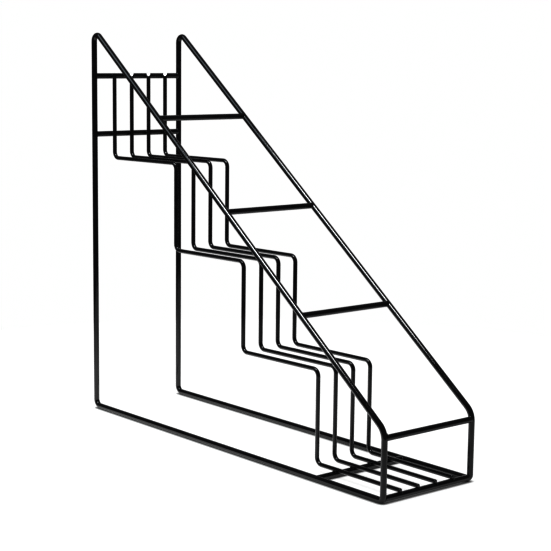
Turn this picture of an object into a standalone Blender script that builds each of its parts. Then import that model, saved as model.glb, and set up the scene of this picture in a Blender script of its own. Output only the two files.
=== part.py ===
"""Countertop brochure rack: two bent side frames, eight cross bars and four stepped wires.

X runs across the rack, -Y is its front and Z is up. The origin is on the ground, under the
middle of the rack. Every piece is round steel wire with a black coating, welded to its
neighbours. Welded pieces are kept apart by WELD_GAP, so that each stays a solid of its own.
"""
import math

import bpy

# Wire gauges and the gap left at a weld
FRAME_WIRE = 0.005
STEP_WIRE = 0.0034
WELD_GAP = 0.0003

# Side frames: the outline of their centreline, seen from the side
FRAME_SPACING = 0.100
FRAME_DEPTH = 0.405
APEX_HEIGHT = 0.369
FRONT_POST_HEIGHT = 0.0585
APEX_BEND = 0.0055
FRONT_BEND = 0.015
FRONT_FOOT_BEND = 0.0035
REAR_FOOT_BEND = 0.006

# Cross bars
TOP_RUNG_HEIGHT = 0.325
LOWER_RUNG_HEIGHT = 0.2695
FRONT_BAR_HEIGHT = 0.053
REAR_FLOOR_BAR_Y = -0.124

# Stepped wires: four treads, each rising a little towards its front edge
TIERS = 4
STEP_WIRES = 4
STEP_DEPTH = 0.100
STEP_HEIGHT = 0.0798
TREAD_RISE = 0.001
STEP_BEND = 0.006
TIP_OVERHANG = 0.0006

# How finely the round shapes are cut
FRAME_BEVEL = 4
STEP_BEVEL = 3
ARC_STEP = math.radians(15)

# Places that follow from the sizes above
FRAME_R = FRAME_WIRE / 2
STEP_R = STEP_WIRE / 2
BACK_Y = FRAME_DEPTH / 2
FRONT_Y = -FRAME_DEPTH / 2
FLOOR_Z = FRAME_R
LAY_OFF = FRAME_R + WELD_GAP + STEP_R
BAR_LENGTH = FRAME_SPACING - 2 * (FRAME_R + WELD_GAP)

# The front floor bar meets the frames halfway round their front foot bends
FOOT_OFFSET = FRONT_FOOT_BEND * (1 - math.cos(math.radians(45)))
FRONT_FLOOR_Y = FRONT_Y + FOOT_OFFSET
FRONT_FLOOR_Z = FLOOR_Z + FOOT_OFFSET

BLACK = (0.012, 0.012, 0.013, 1.0)
COAT_ROUGHNESS = 0.22


def clear_scene():
    for obj in list(bpy.data.objects):
        bpy.data.objects.remove(obj, do_unlink=True)


def coating(name):
    """Glossy black paint over steel."""
    material = bpy.data.materials.new(name + "_coating")
    material.use_nodes = True
    shader = material.node_tree.nodes["Principled BSDF"]
    shader.inputs["Base Color"].default_value = BLACK
    shader.inputs["Roughness"].default_value = COAT_ROUGHNESS
    shader.inputs["Metallic"].default_value = 0.0
    return material


def unit(a, b):
    """Unit vector from a to b in the side view."""
    dy, dz = b[0] - a[0], b[1] - a[1]
    length = math.hypot(dy, dz)
    return dy / length, dz / length


def bend(before, corner, after, radius):
    """Points of the arc that rounds a corner of a side-view outline."""
    back = unit(corner, before)
    ahead = unit(corner, after)
    inside = math.acos(back[0] * ahead[0] + back[1] * ahead[1])
    turn = math.pi - inside
    tangent = radius / math.tan(inside / 2)
    start = (corner[0] + back[0] * tangent, corner[1] + back[1] * tangent)
    middle = ((back[0] + ahead[0]) / 2, (back[1] + ahead[1]) / 2)
    reach = radius / math.sin(inside / 2) / math.hypot(*middle)
    centre = (corner[0] + middle[0] * reach, corner[1] + middle[1] * reach)
    spoke = (start[0] - centre[0], start[1] - centre[1])
    side = math.copysign(1, back[1] * ahead[0] - back[0] * ahead[1])
    count = max(2, math.ceil(turn / ARC_STEP))
    points = []
    for i in range(count + 1):
        angle = side * turn * i / count
        c, s = math.cos(angle), math.sin(angle)
        points.append((centre[0] + spoke[0] * c - spoke[1] * s, centre[1] + spoke[0] * s + spoke[1] * c))
    return points


def rounded(corners, radii, closed):
    """Side-view outline with each corner rounded; an open outline keeps its two ends."""
    points = []
    last = len(corners) - 1
    for i, corner in enumerate(corners):
        if not closed and i in (0, last):
            points.append(corner)
            continue
        points += bend(corners[i - 1], corner, corners[(i + 1) % len(corners)], radii[i])
    return points


def wire(name, points, diameter, bevel, closed=False):
    """Round wire along the points, with a flat of its rim facing straight down."""
    sides = 4 + 2 * bevel
    curve = bpy.data.curves.new(name, "CURVE")
    curve.dimensions = "3D"
    curve.bevel_depth = diameter / 2 / math.cos(math.pi / sides)
    curve.bevel_resolution = bevel
    curve.use_fill_caps = True
    spline = curve.splines.new("POLY")
    spline.points.add(len(points) - 1)
    for target, point in zip(spline.points, points):
        target.co = (*point, 1)
        target.tilt = math.pi / sides
    spline.use_cyclic_u = closed
    obj = bpy.data.objects.new(name, curve)
    curve.materials.append(coating(name))
    return obj


def side_frame(name):
    """Closed loop: back post, apex, slope, short front post, then the rail on the ground."""
    corners = [
        (BACK_Y, FLOOR_Z),
        (BACK_Y, APEX_HEIGHT),
        (FRONT_Y, FRONT_POST_HEIGHT),
        (FRONT_Y, FLOOR_Z),
    ]
    radii = (REAR_FOOT_BEND, APEX_BEND, FRONT_BEND, FRONT_FOOT_BEND)
    outline = rounded(corners, radii, closed=True)
    return wire(name, [(0, y, z) for y, z in outline], FRAME_WIRE, FRAME_BEVEL, closed=True)


def cross_bar(name):
    """Straight bar between the two side frames."""
    half = BAR_LENGTH / 2
    return wire(name, [(-half, 0, 0), (half, 0, 0)], FRAME_WIRE, FRAME_BEVEL)


def riser_y(tier):
    """Where a stepped wire stands upright: tier 0 is against the rear rungs."""
    return BACK_Y - LAY_OFF - tier * STEP_DEPTH


def tread_z(tier):
    """Height of a tread at its back: the last one lies on the rear floor bar."""
    return FLOOR_Z + LAY_OFF + (TIERS - 1 - tier) * STEP_HEIGHT


def slope_z(y):
    """Height of the frames' sloping side above y."""
    run = (BACK_Y - y) / FRAME_DEPTH
    return APEX_HEIGHT + (FRONT_POST_HEIGHT - APEX_HEIGHT) * run


def stepped_wire(name):
    """One wire from the top rung, down four treads, to its cut end on the front floor bar."""
    corners = [(riser_y(0), TOP_RUNG_HEIGHT + FRAME_R)]
    radii = [0]
    for tier in range(TIERS - 1):
        corners.append((riser_y(tier), tread_z(tier)))
        corners.append((riser_y(tier + 1), tread_z(tier) + TREAD_RISE))
        radii += [STEP_BEND, STEP_BEND]
    corners.append((riser_y(TIERS - 1), tread_z(TIERS - 1)))
    corners.append((FRONT_FLOOR_Y - TIP_OVERHANG, FRONT_FLOOR_Z + LAY_OFF))
    radii += [STEP_BEND, 0]
    outline = rounded(corners, radii, closed=False)
    return wire(name, [(0, y, z) for y, z in outline], STEP_WIRE, STEP_BEVEL)


def build():
    clear_scene()
    rack = bpy.data.collections.new("brochure_rack")
    bpy.context.scene.collection.children.link(rack)
    origin = bpy.data.objects.new("rack_origin", None)
    rack.objects.link(origin)

    def place(obj, x, y, z):
        rack.objects.link(obj)
        obj.parent = origin
        obj.location = (x, y, z)

    place(side_frame("side_frame_left"), -FRAME_SPACING / 2, 0, 0)
    place(side_frame("side_frame_right"), FRAME_SPACING / 2, 0, 0)

    bars = {
        "rear_rung_top": (BACK_Y, TOP_RUNG_HEIGHT),
        "rear_rung_lower": (BACK_Y, LOWER_RUNG_HEIGHT),
        "front_bar_top": (FRONT_Y, FRONT_BAR_HEIGHT),
        "front_bar_floor": (FRONT_FLOOR_Y, FRONT_FLOOR_Z),
        "rear_bar_floor": (REAR_FLOOR_BAR_Y, FLOOR_Z),
    }
    for tier in range(1, TIERS):
        y = riser_y(tier)
        bars[f"slope_bar_{tier}"] = (y, slope_z(y))
    for name, (y, z) in bars.items():
        place(cross_bar(name), 0, y, z)

    gap = FRAME_SPACING / (STEP_WIRES + 1)
    for i in range(STEP_WIRES):
        x = gap * (i + 1) - FRAME_SPACING / 2
        place(stepped_wire(f"stepped_wire_{i + 1}"), x, 0, 0)


build()
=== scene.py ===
"""Finished look of the countertop brochure rack.

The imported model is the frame. Each of its wires is built again around it as a fine round
sweep with formed ends, beads of weld join the wires, and a floor, soft lights and a camera
make the picture. Lengths are in metres: X runs across the rack, -Y is its front, Z is up.
"""
import math

import bmesh
import bpy
from mathutils import Matrix, Vector, noise


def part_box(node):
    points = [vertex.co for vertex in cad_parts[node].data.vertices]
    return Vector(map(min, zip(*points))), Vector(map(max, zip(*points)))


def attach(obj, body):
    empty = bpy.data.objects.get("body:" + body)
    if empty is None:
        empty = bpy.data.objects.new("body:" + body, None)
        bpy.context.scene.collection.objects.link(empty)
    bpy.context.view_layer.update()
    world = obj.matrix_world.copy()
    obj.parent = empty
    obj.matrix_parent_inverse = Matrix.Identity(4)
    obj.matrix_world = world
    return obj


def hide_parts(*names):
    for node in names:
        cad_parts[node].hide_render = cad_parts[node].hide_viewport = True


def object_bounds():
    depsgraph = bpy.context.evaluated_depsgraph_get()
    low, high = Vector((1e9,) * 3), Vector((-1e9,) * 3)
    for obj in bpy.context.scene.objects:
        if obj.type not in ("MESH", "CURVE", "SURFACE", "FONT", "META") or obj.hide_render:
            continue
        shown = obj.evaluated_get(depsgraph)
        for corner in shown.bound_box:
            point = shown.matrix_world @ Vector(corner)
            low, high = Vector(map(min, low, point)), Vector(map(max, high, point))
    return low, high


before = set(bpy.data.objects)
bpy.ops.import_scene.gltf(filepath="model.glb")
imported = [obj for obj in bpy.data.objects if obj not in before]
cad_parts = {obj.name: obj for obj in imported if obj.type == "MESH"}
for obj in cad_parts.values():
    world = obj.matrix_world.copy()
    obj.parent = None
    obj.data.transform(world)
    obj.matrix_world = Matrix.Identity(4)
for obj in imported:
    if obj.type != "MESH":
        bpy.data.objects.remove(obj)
cad_low, cad_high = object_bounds()

# Bends and steps of the wires, as the model has them
APEX_BEND = 0.0055
FRONT_BEND = 0.015
FRONT_FOOT_BEND = 0.0035
REAR_FOOT_BEND = 0.006
STEP_BEND = 0.006
STEP_HEIGHT = 0.0798
TREAD_RISE = 0.001

# How finely the wires are cut
FRAME_SIDES = 28
STEP_SIDES = 24
ARC_STEP = math.radians(6)
RUN_STEP = 0.004
SHARP_ANGLE = math.radians(25)

# Extra radius of the visible wires, tuned so that their lines look bold enough in the picture,
# and the slight ripple of the coat
FRAME_EXTRA = 0.00004
STEP_EXTRA = 0.0001
COAT_RIPPLE = 0.00002
COAT_RIPPLE_SCALE = 220

# Ends of the stepped wires
TIP_ROUND = 0.0009
TIP_CROWN = 1.03
TIP_STEPS = 5
SET_DOWN = 0.0009
SHEAR_NORMAL = Vector((-0.52, -0.68, 0.51))
SHEAR_SHARE = 0.55
SHEAR_REACH = 0.03

# Weld beads; VARIES is how fast their unevenness changes from place to place, along X and Z
BEAD_STEPS = 6
BUTT_BEAD = 0.0012
BUTT_WIDTH = 0.95
BUTT_UNEVEN = 0.3
BUTT_UNEVEN_SCALE = 1.7
BUTT_VARIES = (40, 90)
CROSS_BEAD_ALONG = 0.0023
CROSS_BEAD_ACROSS = 0.00158
CROSS_BEAD_WAIST = 0.88
CROSS_BEAD_FLARE = 1.6
CROSS_BEAD_SIDES = 32
CROSS_BEAD_SINK = 0.98
CROSS_BEAD_UNEVEN = 0.12
CROSS_BEAD_UNEVEN_SCALE = 1.5
CROSS_BEAD_VARIES = (50, 70)
BEND_CLEARANCE = 0.01

# Black enamel. A SCALE is in features per metre, EDGES are where its noise starts and ends to
# count, and SHIFT keeps one noise from lying on another.
DEEP_BLACK = (0.008, 0.008, 0.0088, 1)
SOFT_BLACK = (0.018, 0.018, 0.0195, 1)
DUST_GREY = (0.085, 0.085, 0.088, 1)
RUBBED_GREY = (0.032, 0.032, 0.034, 1)
CLOUD_SCALE = 70
CLOUD_EDGES = (0.35, 0.65)
STREAK_SCALE = 650
STREAK_EDGES = (0.45, 0.75)
STREAK_SHIFT = 1.3
RUB_SCALE = 95
RUB_EDGES = (0.60, 0.76)
RUB_SHIFT = 4.4
GLOSS_EDGES = (0.3, 0.7)
GLOSSIEST = 0.8
DULLEST = 1.25
PEEL_SCALE = 170
PEEL_SHIFT = 2.1
PEEL_HEIGHT = 0.00004
DUST_FACING = 0.75
DUST_SHARE = 0.28
DUST_DULLS = 0.25
RUB_SHARE = 0.6
RUB_DULLS = 0.2
ENAMEL_IOR = 1.5
ENAMEL_SPECULAR = 0.8

# Camera, with its angles as turns from a level view along +Y, and the picture's tone curve
CAMERA_PLACE = Vector((-0.8448, -1.0068, 0.3516))
CAMERA_AZIMUTH = math.radians(40.277)
CAMERA_DOWN = math.radians(8.627)
CAMERA_ROLL = math.radians(0.637)
CAMERA_LENS = 97.17
CAMERA_SENSOR = 36
TONE_GAMMA = 0.5

# Lamps
KEY_PLACE = Vector((-0.36, -0.17, 1.3))
KEY_SIZE = (0.45, 0.41)
KEY_POWER = 13.5
PANEL_PLACE = Vector((-0.86, 0.27, 1.37))
PANEL_AIM = Vector((-0.05, 0.05, 0.25))
PANEL_SIZE = 0.9
PANEL_POWER = 8.5
PANEL_COLOUR = (0.86, 0.95, 1.0)

# Studio walls: white to the eye, dark in reflections except towards the backdrop
WHITE = (1, 1, 1, 1)
SKY_STRENGTH = 1.0
DARK_STUDIO = 0.12
BACKDROP = 1.0
BACKDROP_WAY = Vector((0.64, 0.75, 0.15))
BACKDROP_EDGE = 0.80
BACKDROP_FULL = 0.95

# Floor: its paper, its glow, a contact shadow made deeper than a real one, and a pool of light
# that only reflections see
FLOOR_RADIUS = 0.62
FLOOR_SIDES = 96
FLOOR_GAP = 0.0001
FLOOR_DARK = (0.135, 0.135, 0.134, 1)
FLOOR_WHITE = (0.15, 0.15, 0.149, 1)
FLOOR_GRAIN_SCALE = 900
FLOOR_GRAIN_EDGES = (0.4, 0.6)
FLOOR_ROUGHNESS = 0.7
FLOOR_GLOW = 0.82
CONTACT_REACH = 0.0032
CONTACT_DEPTH = 2.0
POOL_CENTRE = (-0.1, 0.1, 0.0)
POOL_FULL = 0.14
POOL_END = 0.36
POOL_EXTRA = 1.0

# The model's nodes
X_AXIS = Vector((1, 0, 0))
SIDE_FRAMES = ("side_frame_left", "side_frame_right")
RUNGS = ("rear_rung_top", "rear_rung_lower")
TIER_BARS = ("slope_bar_1", "slope_bar_2", "slope_bar_3")
FLOOR_BARS = ("rear_bar_floor", "front_bar_floor")
STEP_NODES = tuple(f"stepped_wire_{i}" for i in range(1, 5))


def middle(node):
    """Centre of a node's box."""
    low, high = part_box(node)
    return (low + high) / 2


def half_height(node):
    """Half the height of a node's box: for a level bar, its radius."""
    low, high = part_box(node)
    return (high.z - low.z) / 2


# Radii and places read from the model
FRAME_R = half_height("rear_rung_top") + FRAME_EXTRA
STEP_R = (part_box(STEP_NODES[0])[1].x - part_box(STEP_NODES[0])[0].x) / 2 + STEP_EXTRA
BACK_Y = middle("rear_rung_top").y
FRONT_Y = middle("front_bar_top").y
FLOOR_Z = middle("rear_bar_floor").z


# --- centrelines ---------------------------------------------------------------------------


def unit(a, b):
    """Unit vector from a to b in the side view."""
    dy, dz = b[0] - a[0], b[1] - a[1]
    length = math.hypot(dy, dz)
    return dy / length, dz / length


def bend(before, corner, after, radius):
    """Points of the arc that rounds a corner of a side-view outline."""
    back = unit(corner, before)
    ahead = unit(corner, after)
    inside = math.acos(back[0] * ahead[0] + back[1] * ahead[1])
    turn = math.pi - inside
    tangent = radius / math.tan(inside / 2)
    start = (corner[0] + back[0] * tangent, corner[1] + back[1] * tangent)
    between = ((back[0] + ahead[0]) / 2, (back[1] + ahead[1]) / 2)
    reach = radius / math.sin(inside / 2) / math.hypot(*between)
    centre = (corner[0] + between[0] * reach, corner[1] + between[1] * reach)
    spoke = (start[0] - centre[0], start[1] - centre[1])
    side = math.copysign(1, back[1] * ahead[0] - back[0] * ahead[1])
    count = max(2, math.ceil(turn / ARC_STEP))
    points = []
    for i in range(count + 1):
        angle = side * turn * i / count
        c, s = math.cos(angle), math.sin(angle)
        y = centre[0] + spoke[0] * c - spoke[1] * s
        z = centre[1] + spoke[0] * s + spoke[1] * c
        points.append((y, z))
    return points


def rounded(corners, radii, closed):
    """Side-view outline with each corner rounded; an open outline keeps its two ends."""
    points = []
    last = len(corners) - 1
    for i, corner in enumerate(corners):
        if not closed and i in (0, last):
            points.append(corner)
            continue
        points += bend(corners[i - 1], corner, corners[(i + 1) % len(corners)], radii[i])
    return points


def divided(points, closed):
    """The same path with its long straight runs cut into short ones."""
    path = []
    count = len(points) if closed else len(points) - 1
    for i in range(count):
        a, b = points[i], points[(i + 1) % len(points)]
        pieces = max(1, round((b - a).length / RUN_STEP))
        path += [a.lerp(b, k / pieces) for k in range(pieces)]
    if not closed:
        path.append(points[-1])
    return path


def slope_line():
    """A point of the frames' sloping centreline and its rise per metre of Y."""
    upper, lower = middle(TIER_BARS[0]), middle(TIER_BARS[-1])
    return upper, (upper.z - lower.z) / (upper.y - lower.y)


def slope_z(y):
    """Height of the sloping centreline at a place along Y."""
    point, rise = slope_line()
    return point.z + (y - point.y) * rise


def frame_path(x):
    """Centreline of a side frame: back post, slope, front post and the rail on the ground."""
    corners = [
        (BACK_Y, FLOOR_Z),
        (BACK_Y, slope_z(BACK_Y)),
        (FRONT_Y, slope_z(FRONT_Y)),
        (FRONT_Y, FLOOR_Z),
    ]
    radii = (REAR_FOOT_BEND, APEX_BEND, FRONT_BEND, FRONT_FOOT_BEND)
    outline = rounded(corners, radii, closed=True)
    return divided([Vector((x, y, z)) for y, z in outline], closed=True)


def step_path(node):
    """Centreline of a stepped wire, from its top end to its tip on the front floor bar."""
    low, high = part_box(node)
    x = (low.x + high.x) / 2
    risers = [high.y - (high.x - low.x) / 2] + [middle(bar).y for bar in TIER_BARS]
    lay_off = BACK_Y - risers[0]
    last_tread = middle("rear_bar_floor").z + lay_off
    treads = [last_tread + STEP_HEIGHT * k for k in reversed(range(len(risers)))]
    corners = [(risers[0], high.z)]
    radii = [0]
    for tier in range(len(risers) - 1):
        corners.append((risers[tier], treads[tier]))
        corners.append((risers[tier + 1], treads[tier] + TREAD_RISE))
        radii += [STEP_BEND, STEP_BEND]
    corners.append((risers[-1], treads[-1]))
    corners.append((low.y, middle("front_bar_floor").z + lay_off - SET_DOWN))
    radii += [STEP_BEND, 0]
    outline = rounded(corners, radii, closed=False)
    return divided([Vector((x, y, z)) for y, z in outline], closed=False)


# --- meshes --------------------------------------------------------------------------------


def ring_of(bm, centre, side, up, radius, sides):
    """One ring of vertices round a centreline point, with the coat's slight ripple."""
    ring = []
    for k in range(sides):
        angle = 2 * math.pi * k / sides
        way = side * math.cos(angle) + up * math.sin(angle)
        ripple = COAT_RIPPLE * noise.noise((centre + way * radius) * COAT_RIPPLE_SCALE)
        ring.append(bm.verts.new(centre + way * (radius + ripple)))
    return ring


def join_rings(bm, first, second):
    """Faces between two rings of as many vertices."""
    count = len(first)
    for k in range(count):
        n = (k + 1) % count
        bm.faces.new((first[k], first[n], second[n], second[k]))


def directions(path, closed):
    """Unit direction of the path at each of its points."""
    count = len(path)
    found = []
    for i in range(count):
        if closed:
            a, b = path[i - 1], path[(i + 1) % count]
        else:
            a, b = path[max(i - 1, 0)], path[min(i + 1, count - 1)]
        found.append((b - a).normalized())
    return found


def sweep(bm, path, radius, sides, closed):
    """A round tube along a path that lies in a plane of constant X. Returns its rings."""
    rings = []
    for point, way in zip(path, directions(path, closed)):
        rings.append(ring_of(bm, point, X_AXIS, way.cross(X_AXIS), radius, sides))
    for first, second in zip(rings, rings[1:]):
        join_rings(bm, first, second)
    if closed:
        join_rings(bm, rings[-1], rings[0])
    return rings


def dome(bm, ring, centre, way, radius):
    """Closes an end with a low rounded cap, as a coated cut end has."""
    last = ring
    for i in range(1, TIP_STEPS + 1):
        angle = math.pi / 2 * i / TIP_STEPS
        rim = radius - TIP_ROUND * (1 - math.cos(angle))
        lift = TIP_ROUND * math.sin(angle)
        new = []
        for vertex in ring:
            spoke = (vertex.co - centre).normalized()
            new.append(bm.verts.new(centre + spoke * rim + way * lift))
        join_rings(bm, last, new)
        last = new
    top = bm.verts.new(centre + way * TIP_ROUND * TIP_CROWN)
    for k in range(len(last)):
        bm.faces.new((last[k], last[(k + 1) % len(last)], top))


def close_flat(bm, ring):
    """Closes an end with one flat face."""
    bm.faces.new(ring)


def shear(bm, end):
    """Cuts a slanting face across part of a stepped wire's top end."""
    depth = STEP_R * 2 * SHEAR_SHARE
    normal = SHEAR_NORMAL.normalized()
    through = end - Vector((0, 0, depth / 2))
    low_side = Vector((normal.x, normal.y, 0)).normalized()
    through += low_side * STEP_R * (1 - SHEAR_SHARE)
    near = [f for f in bm.faces if f.calc_center_median().z > end.z - SHEAR_REACH]
    parts = list({v for f in near for v in f.verts} | {e for f in near for e in f.edges}) + near
    cut = bmesh.ops.bisect_plane(
        bm, geom=parts, plane_co=through, plane_no=normal, clear_outer=True
    )
    rim = [e for e in cut["geom_cut"] if isinstance(e, bmesh.types.BMEdge)]
    bmesh.ops.contextual_create(bm, geom=rim)


def finish_mesh(bm, name, material):
    """Turns the built shape into a piece that rides on the rack."""
    bmesh.ops.recalc_face_normals(bm, faces=bm.faces)
    mesh = bpy.data.meshes.new(name)
    bm.to_mesh(mesh)
    bm.free()
    mesh.materials.append(material)
    mesh.shade_smooth()
    mesh.set_sharp_from_angle(angle=SHARP_ANGLE)
    piece = bpy.data.objects.new(name, mesh)
    bpy.context.scene.collection.objects.link(piece)
    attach(piece, "root")
    return piece


# --- welds ---------------------------------------------------------------------------------


def butt_weld(bm, bar_centre, frame_x, along, inward):
    """Rings of the bead that runs from a bar's surface out over the frame's wire.

    along is the frame wire's direction at the weld, inward is +1 or -1 along X.
    Returns the last ring, which is where the bar's straight part starts.
    """
    across = along.cross(X_AXIS)
    rings = []
    for step in range(BEAD_STEPS + 1):
        t = step / BEAD_STEPS
        ring = []
        for k in range(FRAME_SIDES):
            angle = 2 * math.pi * k / FRAME_SIDES
            c, s = math.cos(angle), math.sin(angle)
            apart = frame_x * BUTT_VARIES[0] + bar_centre.z * BUTT_VARIES[1]
            place = Vector((c, s, apart)) * BUTT_UNEVEN_SCALE
            bead = BUTT_BEAD * (1 + BUTT_UNEVEN * noise.noise(place))
            sideways = BUTT_WIDTH * s * FRAME_R
            surface = frame_x + inward * math.sqrt(FRAME_R**2 - sideways**2)
            foot = (surface, c * (FRAME_R + bead))
            corner = (surface, c * FRAME_R)
            top = (surface + inward * bead, c * FRAME_R)
            x, lift = [
                foot[i] * (1 - t) ** 2 + corner[i] * 2 * t * (1 - t) + top[i] * t**2
                for i in range(2)
            ]
            spread = sideways + (s * FRAME_R - sideways) * t
            co = Vector((x, bar_centre.y, bar_centre.z)) + along * lift + across * spread
            ring.append(bm.verts.new(co))
        rings.append(ring)
    for first, second in zip(rings, rings[1:]):
        join_rings(bm, first, second)
    close_flat(bm, rings[0])
    return rings[-1]


def cross_weld(bm, wire_point, wire_way, towards, distance):
    """Bead squeezed out where a stepped wire crosses a bar.

    wire_point is on the stepped wire's axis, towards points from it to the bar's axis, and
    distance is how far apart the two axes are.
    """
    rings = []
    for step in range(2 * BEAD_STEPS + 1):
        t = step / BEAD_STEPS - 1
        ring = []
        for k in range(CROSS_BEAD_SIDES):
            angle = 2 * math.pi * k / CROSS_BEAD_SIDES
            c, s = math.cos(angle), math.sin(angle)
            apart = wire_point.x * CROSS_BEAD_VARIES[0] + wire_point.z * CROSS_BEAD_VARIES[1]
            place = Vector((c, s, apart)) * CROSS_BEAD_UNEVEN_SCALE
            uneven = 1 + CROSS_BEAD_UNEVEN * noise.noise(place)
            waist = CROSS_BEAD_WAIST + (1 - CROSS_BEAD_WAIST) * abs(t) ** CROSS_BEAD_FLARE
            along = c * CROSS_BEAD_ALONG * waist * uneven
            across = s * CROSS_BEAD_ACROSS * waist * uneven
            from_wire = math.sqrt(STEP_R**2 - across**2) * CROSS_BEAD_SINK
            from_bar = distance - math.sqrt(FRAME_R**2 - along**2) * CROSS_BEAD_SINK
            depth = from_wire + (from_bar - from_wire) * (t + 1) / 2
            co = wire_point + wire_way * along + X_AXIS * across + towards * depth
            ring.append(bm.verts.new(co))
        rings.append(ring)
    for first, second in zip(rings, rings[1:]):
        join_rings(bm, first, second)
    close_flat(bm, rings[0])
    close_flat(bm, rings[-1])


# --- materials -----------------------------------------------------------------------------


class Nodes:
    """Short calls for building a material's node tree."""

    def __init__(self, name):
        self.material = bpy.data.materials.new(name)
        self.material.use_nodes = True
        self.tree = self.material.node_tree
        self.shader = self.tree.nodes["Principled BSDF"]
        self.place = self.add("ShaderNodeTexCoord").outputs["Object"]

    def add(self, kind, **settings):
        """A new node of a kind, with its settings."""
        node = self.tree.nodes.new(kind)
        for key, value in settings.items():
            setattr(node, key, value)
        return node

    def link(self, output, target):
        self.tree.links.new(output, target)

    def noise(self, scale, detail=3.0, roughness=0.5, offset=0.0):
        """Noise in the piece's own space; scale is in features per metre."""
        shift = self.add("ShaderNodeVectorMath", operation="ADD")
        shift.inputs[1].default_value = (offset, offset, offset)
        self.link(self.place, shift.inputs[0])
        texture = self.add("ShaderNodeTexNoise")
        texture.inputs["Scale"].default_value = scale
        texture.inputs["Detail"].default_value = detail
        texture.inputs["Roughness"].default_value = roughness
        self.link(shift.outputs[0], texture.inputs["Vector"])
        return texture.outputs["Fac"]

    def spread(self, value, low, high, to_low, to_high):
        """A value from low to high, mapped to one from to_low to to_high."""
        node = self.add("ShaderNodeMapRange")
        node.inputs["From Min"].default_value = low
        node.inputs["From Max"].default_value = high
        node.inputs["To Min"].default_value = to_low
        node.inputs["To Max"].default_value = to_high
        self.link(value, node.inputs["Value"])
        return node.outputs["Result"]

    def math(self, operation, a, b):
        """One operation on a and b, each a float or an output."""
        node = self.add("ShaderNodeMath", operation=operation)
        for socket, value in zip(node.inputs, (a, b)):
            if isinstance(value, float):
                socket.default_value = value
            else:
                self.link(value, socket)
        return node.outputs[0]

    def mix(self, factor, a, b):
        """Colour from a to b; each is a colour or an output."""
        node = self.add("ShaderNodeMix", data_type="RGBA")
        self.link(factor, node.inputs["Factor"])
        for socket, value in ((node.inputs[6], a), (node.inputs[7], b)):
            if isinstance(value, tuple):
                socket.default_value = value
            else:
                self.link(value, socket)
        return node.outputs[2]


def glossy_coating(name, offset, roughness, peel):
    """Black stoved enamel: uneven depth of black, orange peel, rubbed spots, dust on top."""
    n = Nodes(name)
    clouds = n.noise(CLOUD_SCALE, 4.0, 0.55, offset)
    streaks = n.noise(STREAK_SCALE, 3.0, 0.6, offset + STREAK_SHIFT)
    black = n.mix(n.spread(clouds, *CLOUD_EDGES, 0.0, 1.0), DEEP_BLACK, SOFT_BLACK)

    geometry = n.add("ShaderNodeNewGeometry")
    split = n.add("ShaderNodeSeparateXYZ")
    n.link(geometry.outputs["Normal"], split.inputs[0])
    upward = n.spread(split.outputs["Z"], DUST_FACING, 1.0, 0.0, DUST_SHARE)
    settled = n.math("MULTIPLY", upward, n.spread(streaks, *STREAK_EDGES, 0.0, 1.0))
    dusty = n.mix(settled, black, DUST_GREY)
    patches = n.noise(RUB_SCALE, 5.0, 0.65, offset + RUB_SHIFT)
    rubbed = n.spread(patches, *RUB_EDGES, 0.0, RUB_SHARE)
    n.link(n.mix(rubbed, dusty, RUBBED_GREY), n.shader.inputs["Base Color"])

    gloss = n.spread(clouds, *GLOSS_EDGES, roughness * GLOSSIEST, roughness * DULLEST)
    dust_dull = n.math("MULTIPLY", settled, DUST_DULLS)
    rub_dull = n.math("MULTIPLY", rubbed, RUB_DULLS)
    dull = n.math("ADD", dust_dull, rub_dull)
    n.link(n.math("ADD", gloss, dull), n.shader.inputs["Roughness"])

    bump = n.add("ShaderNodeBump")
    bump.inputs["Strength"].default_value = peel
    bump.inputs["Distance"].default_value = PEEL_HEIGHT
    n.link(n.noise(PEEL_SCALE, 1.0, 0.4, offset + PEEL_SHIFT), bump.inputs["Height"])
    n.link(bump.outputs["Normal"], n.shader.inputs["Normal"])
    n.shader.inputs["Metallic"].default_value = 0.0
    n.shader.inputs["IOR"].default_value = ENAMEL_IOR
    n.shader.inputs["Specular IOR Level"].default_value = ENAMEL_SPECULAR
    return n.material


# --- pieces --------------------------------------------------------------------------------


def make_frame(node, material):
    """A side frame, bent from one wire into a closed outline."""
    bm = bmesh.new()
    sweep(bm, frame_path(middle(node).x), FRAME_R, FRAME_SIDES, closed=True)
    piece = finish_mesh(bm, node + "_wire", material)
    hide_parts(node)


def frame_way(node):
    """Direction of the side frames' wire where a bar meets it."""
    if node.startswith("slope_bar"):
        rise = slope_line()[1]
        return Vector((0, 1, rise)).normalized()
    if node == "front_bar_floor":
        return Vector((0, 1, -1)).normalized()
    if node == "rear_bar_floor":
        return Vector((0, 1, 0))
    return Vector((0, 0, 1))


def make_bar(node, material):
    """A cross bar whose two ends flare into their weld beads."""
    centre = middle(node)
    along = frame_way(node)
    bm = bmesh.new()
    left_x, right_x = [middle(side).x for side in SIDE_FRAMES]
    left = butt_weld(bm, centre, left_x, along, 1)
    right = butt_weld(bm, centre, right_x, along, -1)
    half = right_x - FRAME_R - 2 * BUTT_BEAD
    count = round(2 * half / RUN_STEP)
    last = left
    for i in range(count + 1):
        point = Vector((-half + 2 * half * i / count, centre.y, centre.z))
        ring = ring_of(bm, point, along, along.cross(X_AXIS), FRAME_R, FRAME_SIDES)
        join_rings(bm, last, ring)
        last = ring
    join_rings(bm, last, right)
    piece = finish_mesh(bm, node + "_wire", material)
    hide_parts(node)


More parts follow.
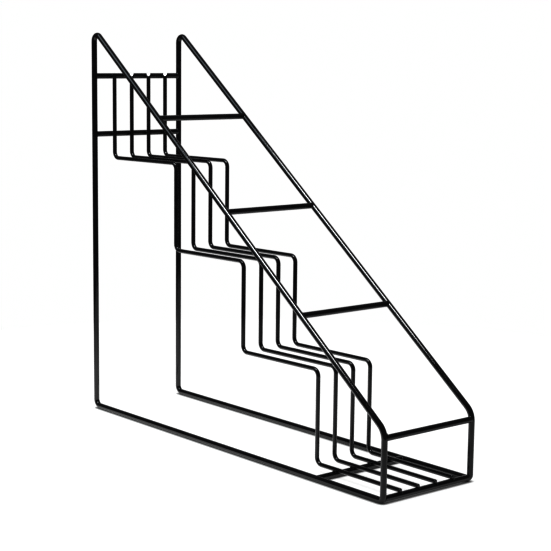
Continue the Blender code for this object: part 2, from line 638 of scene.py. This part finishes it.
def make_stepped_wire(node, material):
    """A wire bent into stairs. Returns its centreline, for the welds on it."""
    path = step_path(node)
    bm = bmesh.new()
    tip_way = (path[-1] - path[-2]).normalized()
    path[-1] = path[-1] - tip_way * TIP_ROUND
    rings = sweep(bm, path, STEP_R, STEP_SIDES, closed=False)
    close_flat(bm, rings[0])
    dome(bm, rings[-1], path[-1], tip_way, STEP_R)
    bmesh.ops.recalc_face_normals(bm, faces=bm.faces)
    if node != STEP_NODES[0]:
        shear(bm, path[0])
    piece = finish_mesh(bm, node + "_wire", material)
    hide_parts(node)
    return path


def make_cross_welds(node, path, material):
    """The four beads that hold one stepped wire: two on the rungs, two on the floor bars."""
    x = middle(node).x
    bm = bmesh.new()
    riser_y = path[0].y
    for rung in RUNGS:
        bar = middle(rung)
        point = Vector((x, riser_y, bar.z))
        cross_weld(bm, point, Vector((0, 0, 1)), Vector((0, 1, 0)), bar.y - riser_y)
    past_bar = middle("rear_bar_floor").y + BEND_CLEARANCE
    run_start = next(p for p in reversed(path) if p.y > past_bar)
    run_way = (path[-1] - run_start).normalized()
    for floor_bar in FLOOR_BARS:
        bar = middle(floor_bar)
        point = run_start + run_way * ((bar.y - run_start.y) / run_way.y)
        down = run_way.cross(X_AXIS)
        if down.z > 0:
            down.negate()
        cross_weld(bm, point, run_way, down, point.z - bar.z)
    finish_mesh(bm, node.replace("stepped_wire", "step_welds"), material)


# --- stage ---------------------------------------------------------------------------------


def make_floor():
    """A disc of white paper, lit from within so that it clips to white round the rack."""
    bm = bmesh.new()
    bmesh.ops.create_circle(bm, cap_ends=True, segments=FLOOR_SIDES, radius=FLOOR_RADIUS)
    mesh = bpy.data.meshes.new("studio_floor")
    bm.to_mesh(mesh)
    bm.free()
    n = Nodes("studio_paper")
    grain = n.spread(n.noise(FLOOR_GRAIN_SCALE, 3.0), *FLOOR_GRAIN_EDGES, 0.0, 1.0)
    paper = n.mix(grain, FLOOR_DARK, FLOOR_WHITE)
    n.link(paper, n.shader.inputs["Base Color"])
    n.shader.inputs["Roughness"].default_value = FLOOR_ROUGHNESS
    n.shader.inputs["Emission Color"].default_value = WHITE
    distance = n.add("ShaderNodeVectorMath", operation="DISTANCE")
    distance.inputs[1].default_value = POOL_CENTRE
    n.link(n.place, distance.inputs[0])
    pool = n.spread(distance.outputs["Value"], POOL_FULL, POOL_END, POOL_EXTRA, 0.0)
    mirrored = n.add("ShaderNodeLightPath").outputs["Is Glossy Ray"]
    contact = n.add("ShaderNodeAmbientOcclusion")
    contact.inputs["Distance"].default_value = CONTACT_REACH
    shade = n.math("POWER", contact.outputs["AO"], CONTACT_DEPTH)
    lit = n.math("MULTIPLY", shade, FLOOR_GLOW)
    glow = n.math("ADD", n.math("MULTIPLY", pool, mirrored), lit)
    n.link(glow, n.shader.inputs["Emission Strength"])
    mesh.materials.append(n.material)
    floor = bpy.data.objects.new("studio_floor", mesh)
    floor.location = (0, 0, cad_low.z - FLOOR_GAP)
    bpy.context.scene.collection.objects.link(floor)


def make_world():
    """White to the eye and to matt surfaces, dim in reflections, as in a dark studio."""
    world = bpy.data.worlds.new("studio")
    world.use_nodes = True
    world.cycles.sampling_method = "NONE"
    nodes, links = world.node_tree.nodes, world.node_tree.links
    nodes.clear()
    white = nodes.new("ShaderNodeBackground")
    white.inputs["Color"].default_value = WHITE
    white.inputs["Strength"].default_value = SKY_STRENGTH
    dim = nodes.new("ShaderNodeBackground")
    dim.inputs["Color"].default_value = WHITE
    place = nodes.new("ShaderNodeTexCoord")
    towards = nodes.new("ShaderNodeVectorMath")
    towards.operation = "DOT_PRODUCT"
    towards.inputs[1].default_value = BACKDROP_WAY.normalized()
    glow = nodes.new("ShaderNodeMapRange")
    glow.inputs["From Min"].default_value = BACKDROP_EDGE
    glow.inputs["From Max"].default_value = BACKDROP_FULL
    glow.inputs["To Min"].default_value = DARK_STUDIO
    glow.inputs["To Max"].default_value = BACKDROP
    links.new(place.outputs["Generated"], towards.inputs[0])
    links.new(towards.outputs["Value"], glow.inputs["Value"])
    links.new(glow.outputs["Result"], dim.inputs["Strength"])
    rays = nodes.new("ShaderNodeLightPath")
    mix = nodes.new("ShaderNodeMixShader")
    out = nodes.new("ShaderNodeOutputWorld")
    links.new(rays.outputs["Is Glossy Ray"], mix.inputs[0])
    links.new(white.outputs[0], mix.inputs[1])
    links.new(dim.outputs[0], mix.inputs[2])
    links.new(mix.outputs[0], out.inputs["Surface"])
    bpy.context.scene.world = world


def make_key_light():
    """The soft box over the rack's left side, whose reflection runs down both slopes."""
    data = bpy.data.lights.new("soft_box", "AREA")
    data.shape = "RECTANGLE"
    data.size, data.size_y = KEY_SIZE
    data.energy = KEY_POWER
    light = bpy.data.objects.new("soft_box", data)
    light.location = KEY_PLACE
    bpy.context.scene.collection.objects.link(light)


def make_panel():
    """A dim panel up on the left, which lifts the tops of the slopes out of black."""
    data = bpy.data.lights.new("left_panel", "AREA")
    data.size = PANEL_SIZE
    data.color = PANEL_COLOUR
    data.energy = PANEL_POWER
    light = bpy.data.objects.new("left_panel", data)
    light.location = PANEL_PLACE
    light.rotation_euler = (PANEL_AIM - PANEL_PLACE).to_track_quat("-Z", "Y").to_euler()
    bpy.context.scene.collection.objects.link(light)


def make_camera():
    """The photograph's viewpoint, unshifted so that every other view holds the whole rack."""
    data = bpy.data.cameras.new("camera")
    data.lens = CAMERA_LENS
    data.sensor_width = CAMERA_SENSOR
    camera = bpy.data.objects.new("camera", data)
    turn = Matrix.Rotation(-CAMERA_AZIMUTH, 4, "Z")
    tilt = Matrix.Rotation(math.pi / 2 - CAMERA_DOWN, 4, "X")
    roll = Matrix.Rotation(CAMERA_ROLL, 4, "Z")
    camera.matrix_world = Matrix.Translation(CAMERA_PLACE) @ turn @ tilt @ roll
    bpy.context.scene.collection.objects.link(camera)
    bpy.context.scene.camera = camera


def main():
    """Sets up the studio, then builds every wire and weld of the rack."""
    tones = bpy.context.scene.view_settings
    tones.view_transform = "Standard"
    tones.gamma = TONE_GAMMA
    make_camera()
    make_world()
    make_key_light()
    make_panel()
    make_floor()
    frame_coat = glossy_coating("frame_coating", offset=0.0, roughness=0.09, peel=0.2)
    bar_coat = glossy_coating("bar_coating", offset=3.7, roughness=0.15, peel=0.25)
    step_coat = glossy_coating("step_coating", offset=7.9, roughness=0.14, peel=0.22)
    weld_coat = glossy_coating("weld_coating", offset=11.3, roughness=0.2, peel=0.5)
    for node in SIDE_FRAMES:
        make_frame(node, frame_coat)
    for node in (*RUNGS, *TIER_BARS, "front_bar_top", *reversed(FLOOR_BARS)):
        make_bar(node, bar_coat)
    for node in STEP_NODES:
        path = make_stepped_wire(node, step_coat)
        make_cross_welds(node, path, weld_coat)


main()
